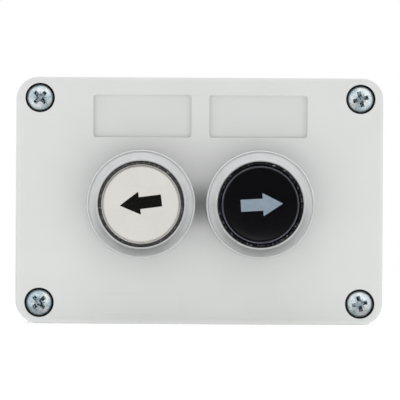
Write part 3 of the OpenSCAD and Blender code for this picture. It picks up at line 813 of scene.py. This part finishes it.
def screw_zinc():
    """Zinc-plated heads, bluish and bright, with shade painted in the cross, lighter towards
    the middle, and on the rounded edge and rim.
    """
    finish = Finish("screw_zinc", (0.8, 0.86, 0.89), 0.36, 0.6)
    tree = finish.tree
    place = axes_of(tree, finish.radial((SCREW_X, SCREW_Y), finish.folded()))
    away = place["X"]
    dome = HEAD_DOME / HEAD_FLAT_R ** 2 / MM
    drop = math_node(tree, "MULTIPLY", math_node(tree, "MULTIPLY", away, away), dome)
    height = math_node(tree, "ADD", place["Y"], drop)
    on_top = finish.step(height, 0, 1, HEAD_TOP - CROSS_SHADE_D, HEAD_TOP - CROSS_EDGE_D)
    off_cross = finish.step(away, 0, 1, *CROSS_ENDS)
    # Painted shade on the head's rounded edge and rim
    bend_shade = finish.step(away, 1, HEAD_BEND_SHADE, HEAD_FLAT_R, HEAD_R - HEAD_BEND_GAP)
    rim = finish.step(away, 1, HEAD_RIM_SHADE, HEAD_R - HEAD_RIM_W, HEAD_R)
    cast = finish.ramp(
        finish.noise(500, 5.0), (0.5, 0.64, 0.7), (0.92, 0.96, 0.97), 0.38, 0.6)
    head = finish.toned(cast, math_node(tree, "MULTIPLY", bend_shade, rim))
    # Painted shade in the cross, broken by noise and lighter towards the middle
    middle = finish.step(away, CROSS_LIFT_MIDDLE, CROSS_LIFT_OUTSIDE, CROSS_LIFT_R / 3, CROSS_LIFT_R)
    cross_lift = math_node(tree, "ADD", finish.noise(1700, 2.0), middle)
    cross = finish.ramp(cross_lift, (0.01, 0.03, 0.045), (0.62, 0.74, 0.8), 0.45, 0.55)
    finish.paint(finish.blend(math_node(tree, "MAXIMUM", on_top, off_cross), cross, head))
    finish.rough(finish.noise(1400, 6.0), 0.22, 0.42)
    finish.bump(finish.noise(900, 6.0, (1.0, 1.0, 6.0)), 0.05)
    return finish.material


def metal_strip(name, colour, roughness):
    """Rolled or drawn metal with lines along it."""
    finish = Finish(name, colour, roughness, 1.0)
    lines = finish.noise(900, 6.0, (8.0, 1.0, 1.0))
    finish.tint(finish.noise(300), 0.06)
    finish.rough(lines, roughness - 0.08, roughness + 0.1)
    finish.bump(lines, 0.004)
    return finish.material


def printed(name, colour):
    """Inlaid marking, satin with a slight mottle."""
    finish = Finish(name, colour, 0.25)
    finish.shader.inputs["Specular IOR Level"].default_value = 0.3
    finish.tint(finish.noise(600, 5.0), 0.06)
    finish.rough(finish.noise(1500), 0.2, 0.3)
    finish.bump(finish.noise(3000), 0.002)
    return finish.material


# Enclosure
def label_recess(bm, x):
    """Sunk rounded rectangle for a label; gives its first loop."""
    falls = edge_fall(LABEL_D, LABEL_TOP_ROUND, LABEL_FOOT_ROUND)
    return sink(bm, [
        rounded_rect(
            LABEL_W + 2 * out, LABEL_H + 2 * out, LABEL_R + out, FRONT - drop, (x, LABEL_Y))
        for out, drop in falls
    ])


def line_frame(bm):
    """Shallow line round the bare frame; gives its outer loop."""
    floor = FRONT - FRAME_D
    insets = [(0, FRONT), (FRAME_SLANT, floor)]
    insets += [(FRAME_LINE - FRAME_SLANT, floor), (FRAME_LINE, FRONT)]
    return sink(bm, [
        rounded_rect(
            FRAME_W - 2 * inset, FRAME_H - 2 * inset, FRAME_R - inset, z, FRAME_AT, FRAME_STEPS)
        for inset, z in insets
    ])


def make_cover(material):
    """Cover with its recesses, its holes and its room inside."""
    bm = bmesh.new()
    rim = add_loop(bm, outline(PARTING, PARTING_CHAMFER))
    rounding = [
        outline(FRONT - FRONT_EDGE_R * (1 - math.sin(a)), FRONT_EDGE_R * (1 - math.cos(a)))
        for a in quarter_turn(FRONT_EDGE_STEPS)
    ]
    flat = outline(FRONT, FRONT_EDGE_R + EDGE_FLAT)
    face = loft(bm, [outline(PARTING + PARTING_CHAMFER), *rounding, flat], rim)
    gaps = [line_frame(bm)]
    gaps += [label_recess(bm, sx * LABEL_X) for sx in (-1, 1)]
    ceiling = FRONT - FRONT_T
    room_top = add_loop(bm, room(SEAL_W + SEAL_RIB, ceiling))
    room_end = loft(bm, [room(SEAL_W + SEAL_RIB, PARTING)], room_top)
    panel_holes = []
    for side in SIDES:
        first, last = round_hole(bm, axis_of(side), PANEL_HOLE_R, FRONT, ceiling)
        gaps.append(first)
        panel_holes.append(last)
    screw_holes = []
    for at in corners(SCREW_X, SCREW_Y):
        first, floor = round_hole(bm, at, RECESS_R, FRONT, HEAD_BOTTOM, RECESS_ROUND)
        bore = [circle(at, SCREW_HOLE_R, z) for z in (HEAD_BOTTOM, PARTING)]
        gaps.append(first)
        screw_holes.append(loft(bm, bore, floor))
    fill(bm, face, *gaps)
    fill(bm, room_top, *panel_holes)
    fill(bm, rim, room_end, *screw_holes)
    new_piece("front_cover", bm, "housing", material, "cover")


def knockout(bm, sx, wall):
    """End wall with the weak line of a cable knock-out; wall holds its four corners."""
    fall = edge_fall(KNOCKOUT_D, KNOCKOUT_TOP_ROUND, KNOCKOUT_FOOT_ROUND)

    def ring(radius, depth):
        """Circle in the end wall, at a depth."""
        points = circle((0, 0), radius, 0)
        return [(sx * (WIDTH / 2 - depth), y, PARTING / 2 + x) for x, y, _ in points]

    outer = [ring(KNOCKOUT_R + out, drop) for out, drop in fall]
    inner = [ring(KNOCKOUT_R - KNOCKOUT_LINE - out, drop) for out, drop in reversed(fall)]
    fill(bm, wall, sink(bm, outer + inner))


def make_base(material):
    """Wall box with its knock-outs, seal groove, wall holes and screw posts."""
    bm = bmesh.new()
    back = [
        outline(BACK_EDGE_R * (1 - math.cos(a)), BACK_EDGE_R * (1 - math.sin(a)))
        for a in quarter_turn(BACK_EDGE_STEPS)
    ]
    back_rim = add_loop(bm, back[0])
    wall_low = loft(bm, back[1:], back_rim)
    wall_high = add_loop(bm, outline(PARTING - PARTING_CHAMFER))
    rim = loft(bm, [outline(PARTING, PARTING_CHAMFER)], wall_high)
    count = len(rim)
    ends = {1: count - 1, -1: count // 2 - 1}
    bridge(bm, wall_low, wall_high, ends.values())
    for sx, i in ends.items():
        j = (i + 1) % count
        knockout(bm, sx, [wall_low[i], wall_low[j], wall_high[j], wall_high[i]])

    groove_floor = PARTING - SEAL_GROOVE_D
    inner = SEAL_W + SEAL_RIB
    rises = [(0, PARTING), (0, groove_floor), (SEAL_W, groove_floor), (SEAL_W, PARTING)]
    rises += [(inner, PARTING), (inner, BACK_T)]
    groove_rim = add_loop(bm, room(*rises[0]))
    floor_edge = loft(bm, [room(grow, z) for grow, z in rises[1:]], groove_rim)

    gaps_back = []
    gaps_floor = []
    for at in corners(WALL_HOLE_X, WALL_HOLE_Y):
        first, last = round_hole(bm, at, WALL_HOLE_R, 0, BACK_T + WALL_BOSS_H)
        boss = [circle(at, WALL_BOSS_R, z) for z in (BACK_T + WALL_BOSS_H, BACK_T)]
        gaps_back.append(first)
        gaps_floor.append(loft(bm, boss, last))
    gaps_rim = []
    pilot_end = SCREW_END - PILOT_SPARE
    for at in corners(SCREW_X, SCREW_Y):
        first, last = round_hole(bm, at, CORE_R, 0, pilot_end - CORE_WEB)
        bm.faces.new(last)
        gaps_back.append(first)
        first, last = round_hole(bm, at, PILOT_R, PARTING, pilot_end)
        bm.faces.new(last)
        gaps_rim.append(first)
    fill(bm, back_rim, *gaps_back)
    fill(bm, floor_edge, *gaps_floor)
    fill(bm, rim, groove_rim, *gaps_rim)
    new_piece("wall_box", bm, "housing", material, "base")


# Buttons
def bezel_profile(lip_z, wall_r):
    """Seat, straight outer wall, rounded rim, fine groove, hollow slope and rounded lip."""
    lip_r = OPENING_R + LIP_W
    rim_z = lip_z - LIP_BEVEL - SLOPE_H
    groove_r = wall_r - RIM_W
    slope_r = groove_r - GROOVE_W
    low = Vector((slope_r, rim_z))
    run = Vector((lip_r, lip_z - LIP_BEVEL)) - low
    out = Vector((run.y, -run.x)).normalized()
    slope = []
    for i in range(SLOPE_STEPS):
        t = i / SLOPE_STEPS
        at = low + t * run + 4 * t * (1 - t) * SLOPE_CROWN * out
        slope.append((at.x, at.y, GROOVE_ROUND if i == 0 else 0))
    return rounded([
        (BEZEL_SEAT_R, BEZEL_LIFT, BEZEL_SEAT_ROUND), (wall_r, BEZEL_LIFT, BEZEL_FOOT_ROUND),
        (wall_r, rim_z, RIM_ROUND), (groove_r, rim_z, RIM_ROUND),
        (groove_r, rim_z - GROOVE_D, 0), (slope_r, rim_z - GROOVE_D, GROOVE_ROUND),
        *slope,
        (lip_r - LIP_BEVEL, lip_z, LIP_BEVEL_ROUND), (OPENING_R, lip_z, LIP_ROUND),
        (OPENING_R, LEDGE_TOP, LEDGE_ROUND), (BEZEL_HOLE_R, LEDGE_TOP, LEDGE_ROUND),
        (BEZEL_HOLE_R, PANEL_SEAL_T, 0), (BEZEL_SEAT_R, PANEL_SEAL_T, 0),
    ])


def make_bezel(side, material):
    """Metal ring that shows round a button."""
    node = side + "_bezel"
    low, high = span(node)
    bm = bmesh.new()
    spin(bm, bezel_profile(high.z - FRONT, (high.x - low.x) / 2), axis_of(side))
    new_piece(node + "_ring", bm, "housing", material, node, SHARP_TURNED)


def guide_profile(end, collar_top):
    """Threaded barrel with a floor, flange, and collar up to the tips of its teeth."""
    flange_top = LEDGE_TOP + FLANGE_T
    root = collar_top - TOOTH_D
    points = [(ROD_HOLE_R, end, 0), (BARREL_R, end, BARREL_END_ROUND)]
    z = end + THREAD_START
    while z < THREAD_END:
        points += [(BARREL_R, z, 0), (BARREL_R - THREAD_D, z + THREAD_PITCH / 2, 0)]
        z += THREAD_PITCH
    return rounded(points + [
        (BARREL_R, z, 0), (BARREL_R, LEDGE_TOP, 0), (COLLAR_R, LEDGE_TOP, FLANGE_ROUND),
        (COLLAR_R, root, 0), (COLLAR_R, collar_top, TOOTH_ROUND),
        (COLLAR_BORE_R, collar_top, TOOTH_ROUND), (COLLAR_BORE_R, root, 0),
        (COLLAR_BORE_R, flange_top, FLANGE_ROUND),
        (BARREL_BORE_R, flange_top, BARREL_MOUTH_ROUND),
        (BARREL_BORE_R, end + BARREL_FLOOR, 0), (ROD_HOLE_R, end + BARREL_FLOOR, 0),
    ])


def make_guide(side, material):
    """Threaded barrel with its key, and the toothed collar that shows round the cap."""
    node = side + "_guide_body"
    cx, cy = axis_of(side)
    collar_top = span(side + "_bezel")[1].z - FRONT - COLLAR_SINK
    bm = bmesh.new()
    rows = spin(bm, guide_profile(span(node)[0].z - FRONT, collar_top), (cx, cy))
    root = (FRONT + collar_top - TOOTH_D) * MM
    for row in rows:
        for i, v in enumerate(row):
            if -v.co.y > root:
                v.co.y = -root + (v.co.y + root) * TOOTH_LEVELS[i % len(TOOTH_LEVELS)]
    low, high = cy + BARREL_R - KEY_ROOT, cy + BARREL_R + KEY_OUT
    left, right = cx - KEY_W / 2, cx + KEY_W / 2
    key = [(left, low), (right, low), (right, high), (left, high)]
    solid(bm, [[(x, y, z) for x, y in key] for z in (FRONT - FRONT_T + KEY_GAP, FRONT)])
    new_piece(side + "_guide", bm, "housing", material, node, SHARP_TURNED)


def dish(r):
    """Height of the cap's hollow face at a distance from the axis."""
    return cap_top - CAP_DISH * (1 - (r / face_r) ** 2)


def make_cap(side, material):
    """Hollow face with a rounded edge and a shoulder, on a skirt."""
    disc_bottom = cap_top - CAP_T
    shoulder = cap_top - CAP_SHOULDER_D
    radii = [face_r * i / CAP_RINGS for i in range(1, CAP_RINGS + 1)]
    profile = [(r, dish(r)) for r in radii]
    for i in range(1, CAP_EDGE_STEPS + 1):
        a = math.pi / 2 * (1 - i / CAP_EDGE_STEPS)
        drop = CAP_EDGE_R * (1 - math.sin(a))
        profile.append((face_r + CAP_EDGE_R * math.cos(a), cap_top - drop))
    profile += [
        (CAP_WALL_R, shoulder), (cap_r, shoulder), (cap_r, disc_bottom),
        (SKIRT_R, disc_bottom), (SKIRT_R, skirt_end), (SKIRT_BORE_R, skirt_end),
        (SKIRT_BORE_R, disc_bottom),
    ]
    bm = bmesh.new()
    rows = spin(bm, profile, axis_of(side), closed=False)
    fan(bm, axis_of(side), dish(0), rows[0])
    fan(bm, axis_of(side), disc_bottom, rows[-1])
    new_piece(
        side + "_button_cap", bm, side + "_button", material, side + "_cap", SHARP_TURNED)


def arrow_outline():
    """Closed line round an arrow that points to the right."""
    head_x = ARROW_L / 2 - ARROW_HEAD_L
    upper = [(head_x, ARROW_HEAD_W / 2, ARROW_ROUND), (head_x, ARROW_TAIL_W / 2, 0)]
    upper.append((-ARROW_L / 2, ARROW_TAIL_W / 2, ARROW_ROUND))
    lower = [(x, -y, radius) for x, y, radius in reversed(upper)]
    return rounded([(ARROW_L / 2, 0, ARROW_ROUND), *upper, *lower], ARROW_ROUND_STEPS)


def make_arrow(side, material):
    """Marking let into the hollow face, with a top that follows the hollow."""
    turn, shift, rise = ARROW_PLACES[side]
    border = split_long(arrow_outline(), ARROW_GRID)
    line = [Vector(p) for p in border]
    reach_x = int(ARROW_L / 2 / ARROW_GRID) + 1
    reach_y = int(ARROW_HEAD_W / 2 / ARROW_GRID) + 1
    grid = [
        Vector((i * ARROW_GRID, j * ARROW_GRID))
        for i in range(-reach_x, reach_x + 1)
        for j in range(-reach_y, reach_y + 1)
        if inside(i * ARROW_GRID, j * ARROW_GRID, border)
    ]
    grid = [p for p in grid if min((p - q).length for q in line) > ARROW_CLEAR]
    count = len(line)
    edges = [(i, (i + 1) % count) for i in range(count)]
    verts, _, faces, *_ = delaunay_2d_cdt(line + grid, edges, [], ARROW_FILL, ARROW_SAME)
    cx, cy = axis_of(side)
    bm = bmesh.new()

    def place(p, depth):
        """Vertex for a point of the arrow, at a depth under its top."""
        x, y = turned(p.x + shift, p.y, math.radians(turn))
        y += rise
        z = FRONT + dish(math.hypot(x, y)) + ARROW_PROUD - depth
        return vertex(bm, cx + x, cy + y, z)

    top = [place(p, 0) for p in verts]
    for face in faces:
        middle = sum((verts[i] for i in face), Vector((0, 0))) / len(face)
        if inside(middle.x, middle.y, border):
            bm.faces.new([top[i] for i in face])
    low = [place(p, ARROW_DEPTH) for p in verts[:count]]
    bridge(bm, top[:count], low)
    fill(bm, low)
    node = side + "_arrow"
    new_piece(node + "_mark", bm, side + "_button", material, node, SHARP_TURNED)


# Cover screws
def cross_section(length, width, rise):
    """Closed line round the cross, at a height over the head's top."""
    arm = [(length, -width), (length, width), (width, width)]
    return [
        (*turned(x, y, quarter * math.pi / 2), HEAD_TOP + rise)
        for quarter in range(4)
        for x, y in arm
    ]


def mark_section(quarter, start, end, width, rise):
    """Closed line round a small mark between two arms, at such a height."""
    angle = (quarter + 0.5) * math.pi / 2
    places = [(start, -width), (end, -width), (end, width), (start, width)]
    return [(*turned(x, y, angle), HEAD_TOP + rise) for x, y in places]


def cross_cutter():
    """Tapered cross with four small marks between its arms, as a solid to cut with."""
    bm = bmesh.new()
    solid(bm, [cross_section(*level) for level in CROSS_LEVELS])
    for quarter in range(4):
        solid(bm, [mark_section(quarter, *level) for level in MARK_LEVELS])
    bmesh.ops.recalc_face_normals(bm, faces=bm.faces)
    return add_mesh("cross_cutter", bm)


def screw_profile():
    """Pan head with a rounded edge and a low dome, and a threaded shank."""
    points = [(HEAD_MIDDLE_R, HEAD_TOP)]
    for i in range(1, HEAD_STEPS + 1):
        r = HEAD_FLAT_R * i / HEAD_STEPS
        points.append((r, HEAD_TOP - HEAD_DOME * (r / HEAD_FLAT_R) ** 2))
    start = points[-1][1]
    for a in quarter_turn(HEAD_STEPS)[1:]:
        drop = HEAD_EDGE_R * (1 - math.cos(a))
        points.append((HEAD_R - HEAD_EDGE_R * (1 - math.sin(a)), start - drop))
    points += [
        (HEAD_R, HEAD_BOTTOM + HEAD_FOOT), (HEAD_R - HEAD_FOOT, HEAD_BOTTOM),
        (SCREW_R, HEAD_BOTTOM),
    ]
    z = HEAD_BOTTOM - SCREW_PLAIN
    while z > SCREW_END + 2 * SCREW_TIP:
        points += [(SCREW_R, z), (SCREW_R - SCREW_THREAD_D, z - SCREW_PITCH / 2)]
        z -= SCREW_PITCH
    return points + [(SCREW_R, SCREW_END + SCREW_TIP), (SCREW_R - SCREW_TIP, SCREW_END)]


def cut_screw():
    """Mesh of a screw on the origin's axis, with the cross cut into its head."""
    bm = bmesh.new()
    solid(bm, [circle((0, 0), r, z, HEAD_SIDES) for r, z in screw_profile()])
    bmesh.ops.recalc_face_normals(bm, faces=bm.faces)
    screw = add_mesh("screw", bm)
    cutter = cross_cutter()
    cut = screw.modifiers.new("cross", "BOOLEAN")
    cut.operation = "DIFFERENCE"
    cut.solver = "EXACT"
    cut.use_self = True
    cut.object = cutter
    bpy.context.view_layer.update()
    graph = bpy.context.evaluated_depsgraph_get()
    mesh = bpy.data.meshes.new_from_object(screw.evaluated_get(graph))
    bpy.data.objects.remove(screw)
    bpy.data.objects.remove(cutter)
    return mesh


def make_screws(material):
    """Four pan-head screws, each with its own turn of the cross."""
    bm = bmesh.new()
    one = cut_screw()
    for (sx, sy), turn in SCREW_TURNS.items():
        mesh = one.copy()
        for v in mesh.vertices:
            x, z = turned(v.co.x, v.co.z, math.radians(turn))
            v.co = (x + sx * SCREW_X * MM, v.co.y, z + sy * SCREW_Y * MM)
        bm.from_mesh(mesh)
    new_piece(
        "corner_screws", bm, "housing", material, "cover_screws", SHARP_SCREW)


def make_spring(side, part, material):
    """Coil with closed ends, on the body that carries it."""
    moved_by, carrier, turns, wire_r = SPRINGS[part]
    node = side + "_" + part
    low, high = span(node)
    coil_r = (high.x - low.x) / 2 - wire_r
    cx, cy = (low.x + high.x) / 2, (low.y + high.y) / 2
    steps = COIL_STEPS * turns
    ends = CLOSED_TURNS / turns
    rise = high.z - low.z - 2 * wire_r
    flat = ends * 2 * wire_r * turns
    rows = []
    for i in range(steps + 1):
        t = i / steps
        z = low.z + wire_r + flat * (min(t, ends) + max(0, t - 1 + ends)) / ends
        z += (rise - 2 * flat) * min(1, max(0, (t - ends) / (1 - 2 * ends)))
        a = 2 * math.pi * turns * t
        row = []
        for k in range(WIRE_SIDES):
            b = 2 * math.pi * k / WIRE_SIDES
            r = coil_r + wire_r * math.cos(b)
            row.append((cx + r * math.cos(a), cy + r * math.sin(a), z + wire_r * math.sin(b)))
        rows.append(row)
    bm = bmesh.new()
    solid(bm, rows)
    body = side + "_" + carrier
    piece = new_piece(node + "_coil", bm, body, material, node)
    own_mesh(piece)


# Surroundings
def cosine(degrees):
    """Cosine of an angle in degrees."""
    return math.cos(math.radians(degrees))


def ray_kinds(tree):
    """Camera rays, and the glossy and transmission rays that show the background too."""
    path = tree.nodes.new("ShaderNodeLightPath").outputs
    mirrored = math_node(tree, "MAXIMUM", path["Is Glossy Ray"], path["Is Transmission Ray"])
    return path["Is Camera Ray"], mirrored


def toward_front(tree, unit):
    """Cosine of the angle between a direction and the dark opening of the tent in front."""
    opening = Vector((0, -1, -DARK_DROP)).normalized()
    return vector_node(tree, "DOT_PRODUCT", unit, opening)


def tent_light(tree, unit):
    """White, but for the dark opening of the tent in front and both dim sides."""
    front = fade(
        tree, toward_front(tree, unit), cosine(DARK_OUTER), cosine(DARK_INNER), 1.0, DARK_LEVEL)
    aside = math_node(tree, "ABSOLUTE", axes_of(tree, unit)["X"])
    sides = fade(tree, aside, SIDE_START, 1.0, 1.0, SIDE_LEVEL)
    return math_node(tree, "MULTIPLY", front, sides)


def even_light(tree, unit):
    """What falls on plain surfaces: most from both sides, little from straight ahead."""
    front = fade(
        tree, toward_front(tree, unit), cosine(FRONT_OUTER), cosine(FRONT_INNER),
        AMBIENT, AMBIENT * FRONT_LEVEL)
    height = math_node(tree, "ABSOLUTE", axes_of(tree, unit)["Z"])
    high = fade(tree, height, HIGH_START, HIGH_END, 1.0, HIGH_LEVEL)
    return math_node(tree, "MULTIPLY", front, high)


def make_world():
    """Studio tent of soft light, with a white background."""
    world = bpy.data.worlds.new("studio")
    bpy.context.scene.world = world
    world.use_nodes = True
    tree = world.node_tree
    coords = tree.nodes.new("ShaderNodeTexCoord").outputs["Generated"]
    unit = vector_node(tree, "NORMALIZE", coords)
    camera, mirrored = ray_kinds(tree)
    level = mix(tree, mirrored, even_light(tree, unit), tent_light(tree, unit))
    background = tree.nodes["Background"].inputs
    tree.links.new(math_node(tree, "MAXIMUM", level, camera), background["Strength"])
    background["Color"].default_value = (1, 1, 1, 1)


def make_floor():
    """White floor that keeps the shadow; to metal and gloss its colour shows painted shade of
    the tent's dark opening and dim sides, and a painted shadow close in front.
    """
    bm = bmesh.new()
    bmesh.ops.create_circle(bm, cap_ends=True, radius=FLOOR_R, segments=FLOOR_SIDES)
    floor = add_mesh("floor", bm)
    floor.location = (0, 0, base_low.y * MM - FLOOR_GAP)
    material = bpy.data.materials.new("floor_white")
    material.use_nodes = True
    tree = material.node_tree
    shader = tree.nodes["Principled BSDF"]
    shader.inputs["Roughness"].default_value = 0.9
    shader.inputs["Specular IOR Level"].default_value = 0.0
    shader.inputs["Emission Color"].default_value = (1, 1, 1, 1)
    place = tree.nodes.new("ShaderNodeNewGeometry").outputs["Position"]
    from_front = vector_node(tree, "SUBTRACT", place, (0, -FRONT * MM, 0))
    camera, mirrored = ray_kinds(tree)
    tent = tent_light(tree, vector_node(tree, "NORMALIZE", from_front))
    ahead = math_node(tree, "MULTIPLY", axes_of(tree, from_front)["Y"], -1)
    # Painted shadow close in front of the object, and the tent's dark opening and dim sides
    # painted into the colour that glossy rays see
    near = fade(tree, ahead, FLOOR_SHADOW_NEAR, FLOOR_SHADOW_FAR, FLOOR_SHADOW_LEVEL * FLOOR_COLOUR, FLOOR_COLOUR)
    dim = math_node(tree, "MULTIPLY", tent, near)
    tree.links.new(mix(tree, mirrored, FLOOR_COLOUR, dim), shader.inputs["Base Color"])
    lift = mix(tree, camera, mix(tree, mirrored, FLOOR_LIFT, 0), FLOOR_SHOWN)
    tree.links.new(lift, shader.inputs["Emission Strength"])
    floor.data.materials.append(material)


def make_lamp():
    """Soft lamp above the object."""
    data = bpy.data.lights.new("top", "AREA")
    data.shape = "SQUARE"
    data.size = TOP_SIZE
    data.energy = TOP_POWER
    lamp = add_object("top", data)
    lamp.location = (0, 0, TOP_HEIGHT)
    lamp.rotation_euler = (0, 0, math.radians(TOP_TURN))
    lamp.visible_glossy = False


def make_camera():
    """Camera far in front and a little aside, with the frame of the picture."""
    data = bpy.data.cameras.new("camera")
    data.sensor_width = SENSOR
    data.lens = SENSOR * CAMERA_DISTANCE / (PIXELS / PIXELS_PER_MM * MM)
    data.clip_end = CAMERA_REACH
    camera = add_object("camera", data)
    aside = math.radians(CAMERA_ASIDE)
    away = Vector((-math.sin(aside), -math.cos(aside), 0)) * CAMERA_DISTANCE
    camera.location = Vector((0, -FRONT * MM, AIM_UP * MM)) + away
    camera.rotation_euler = (math.pi / 2, -math.radians(ROLL), -aside)
    bpy.context.scene.camera = camera


def dress(node, material):
    """Gives a CAD node that keeps its shape its finish."""
    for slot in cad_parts[node].material_slots:
        slot.material = material


# The station in its surroundings
bpy.context.scene.view_settings.view_transform = "Standard"
make_world()
make_floor()
make_camera()
make_lamp()

shell = shell_plastic()
zinc_plate = zinc()
rubber = moulded("rubber_black", (0.02, 0.02, 0.02), 0.7, 0.01, 0.1).material
black = moulded("plastic_black", (0.014, 0.014, 0.016), 0.3, 0.006, 0.1).material
green = moulded("plastic_green", (0.02, 0.16, 0.09), 0.45, 0.008, 0.05).material
steel = metal_strip("spring_wire", (0.5, 0.5, 0.52), 0.3)
brass = metal_strip("contact_strip", (0.72, 0.55, 0.25), 0.3)
# The same black collar in two tones: the left one painted lighter, standing in for light from
# the white cap beside it
collars_painted_light = {
    "left": collar_plastic("collar_left_painted_lighter", (0.075, 0.075, 0.078)),
    "right": collar_plastic("collar_right", (0.008, 0.008, 0.009)),
}
caps = {
    "left": glossy_cap("cap_white", (0.665, 0.647, 0.612), 0.22, "left"),
    "right": glossy_cap("cap_black", (0.003, 0.003, 0.0042), 0.12, "right"),
}
marks = {
    "left": printed("mark_black", (0.0055, 0.005, 0.0048)),
    "right": printed("mark_grey", (0.236, 0.290, 0.350)),
}
inner_finishes = {
    "panel_seal": rubber, "dust_seal": rubber, "plunger": black,
    "fixing_nut": zinc_plate, "contact_holder": black,
    "contact_housing": green, "contact_back": green, "contact_pusher": black,
    "contact_bridge": brass, "contact_spring": steel,
    "fixed_contacts": brass, "terminal_screws": zinc_plate,
}

make_cover(shell)
make_base(shell)
make_screws(screw_zinc())
dress("cover_seal", rubber)
for side in SIDES:
    make_bezel(side, satin_metal("satin_ring_" + side, axis_of(side)))
    make_guide(side, collars_painted_light[side])
    make_cap(side, caps[side])
    make_arrow(side, marks[side])
    for part in SPRINGS:
        make_spring(side, part, steel)
    for part, material in inner_finishes.items():
        dress(side + "_" + part, material)
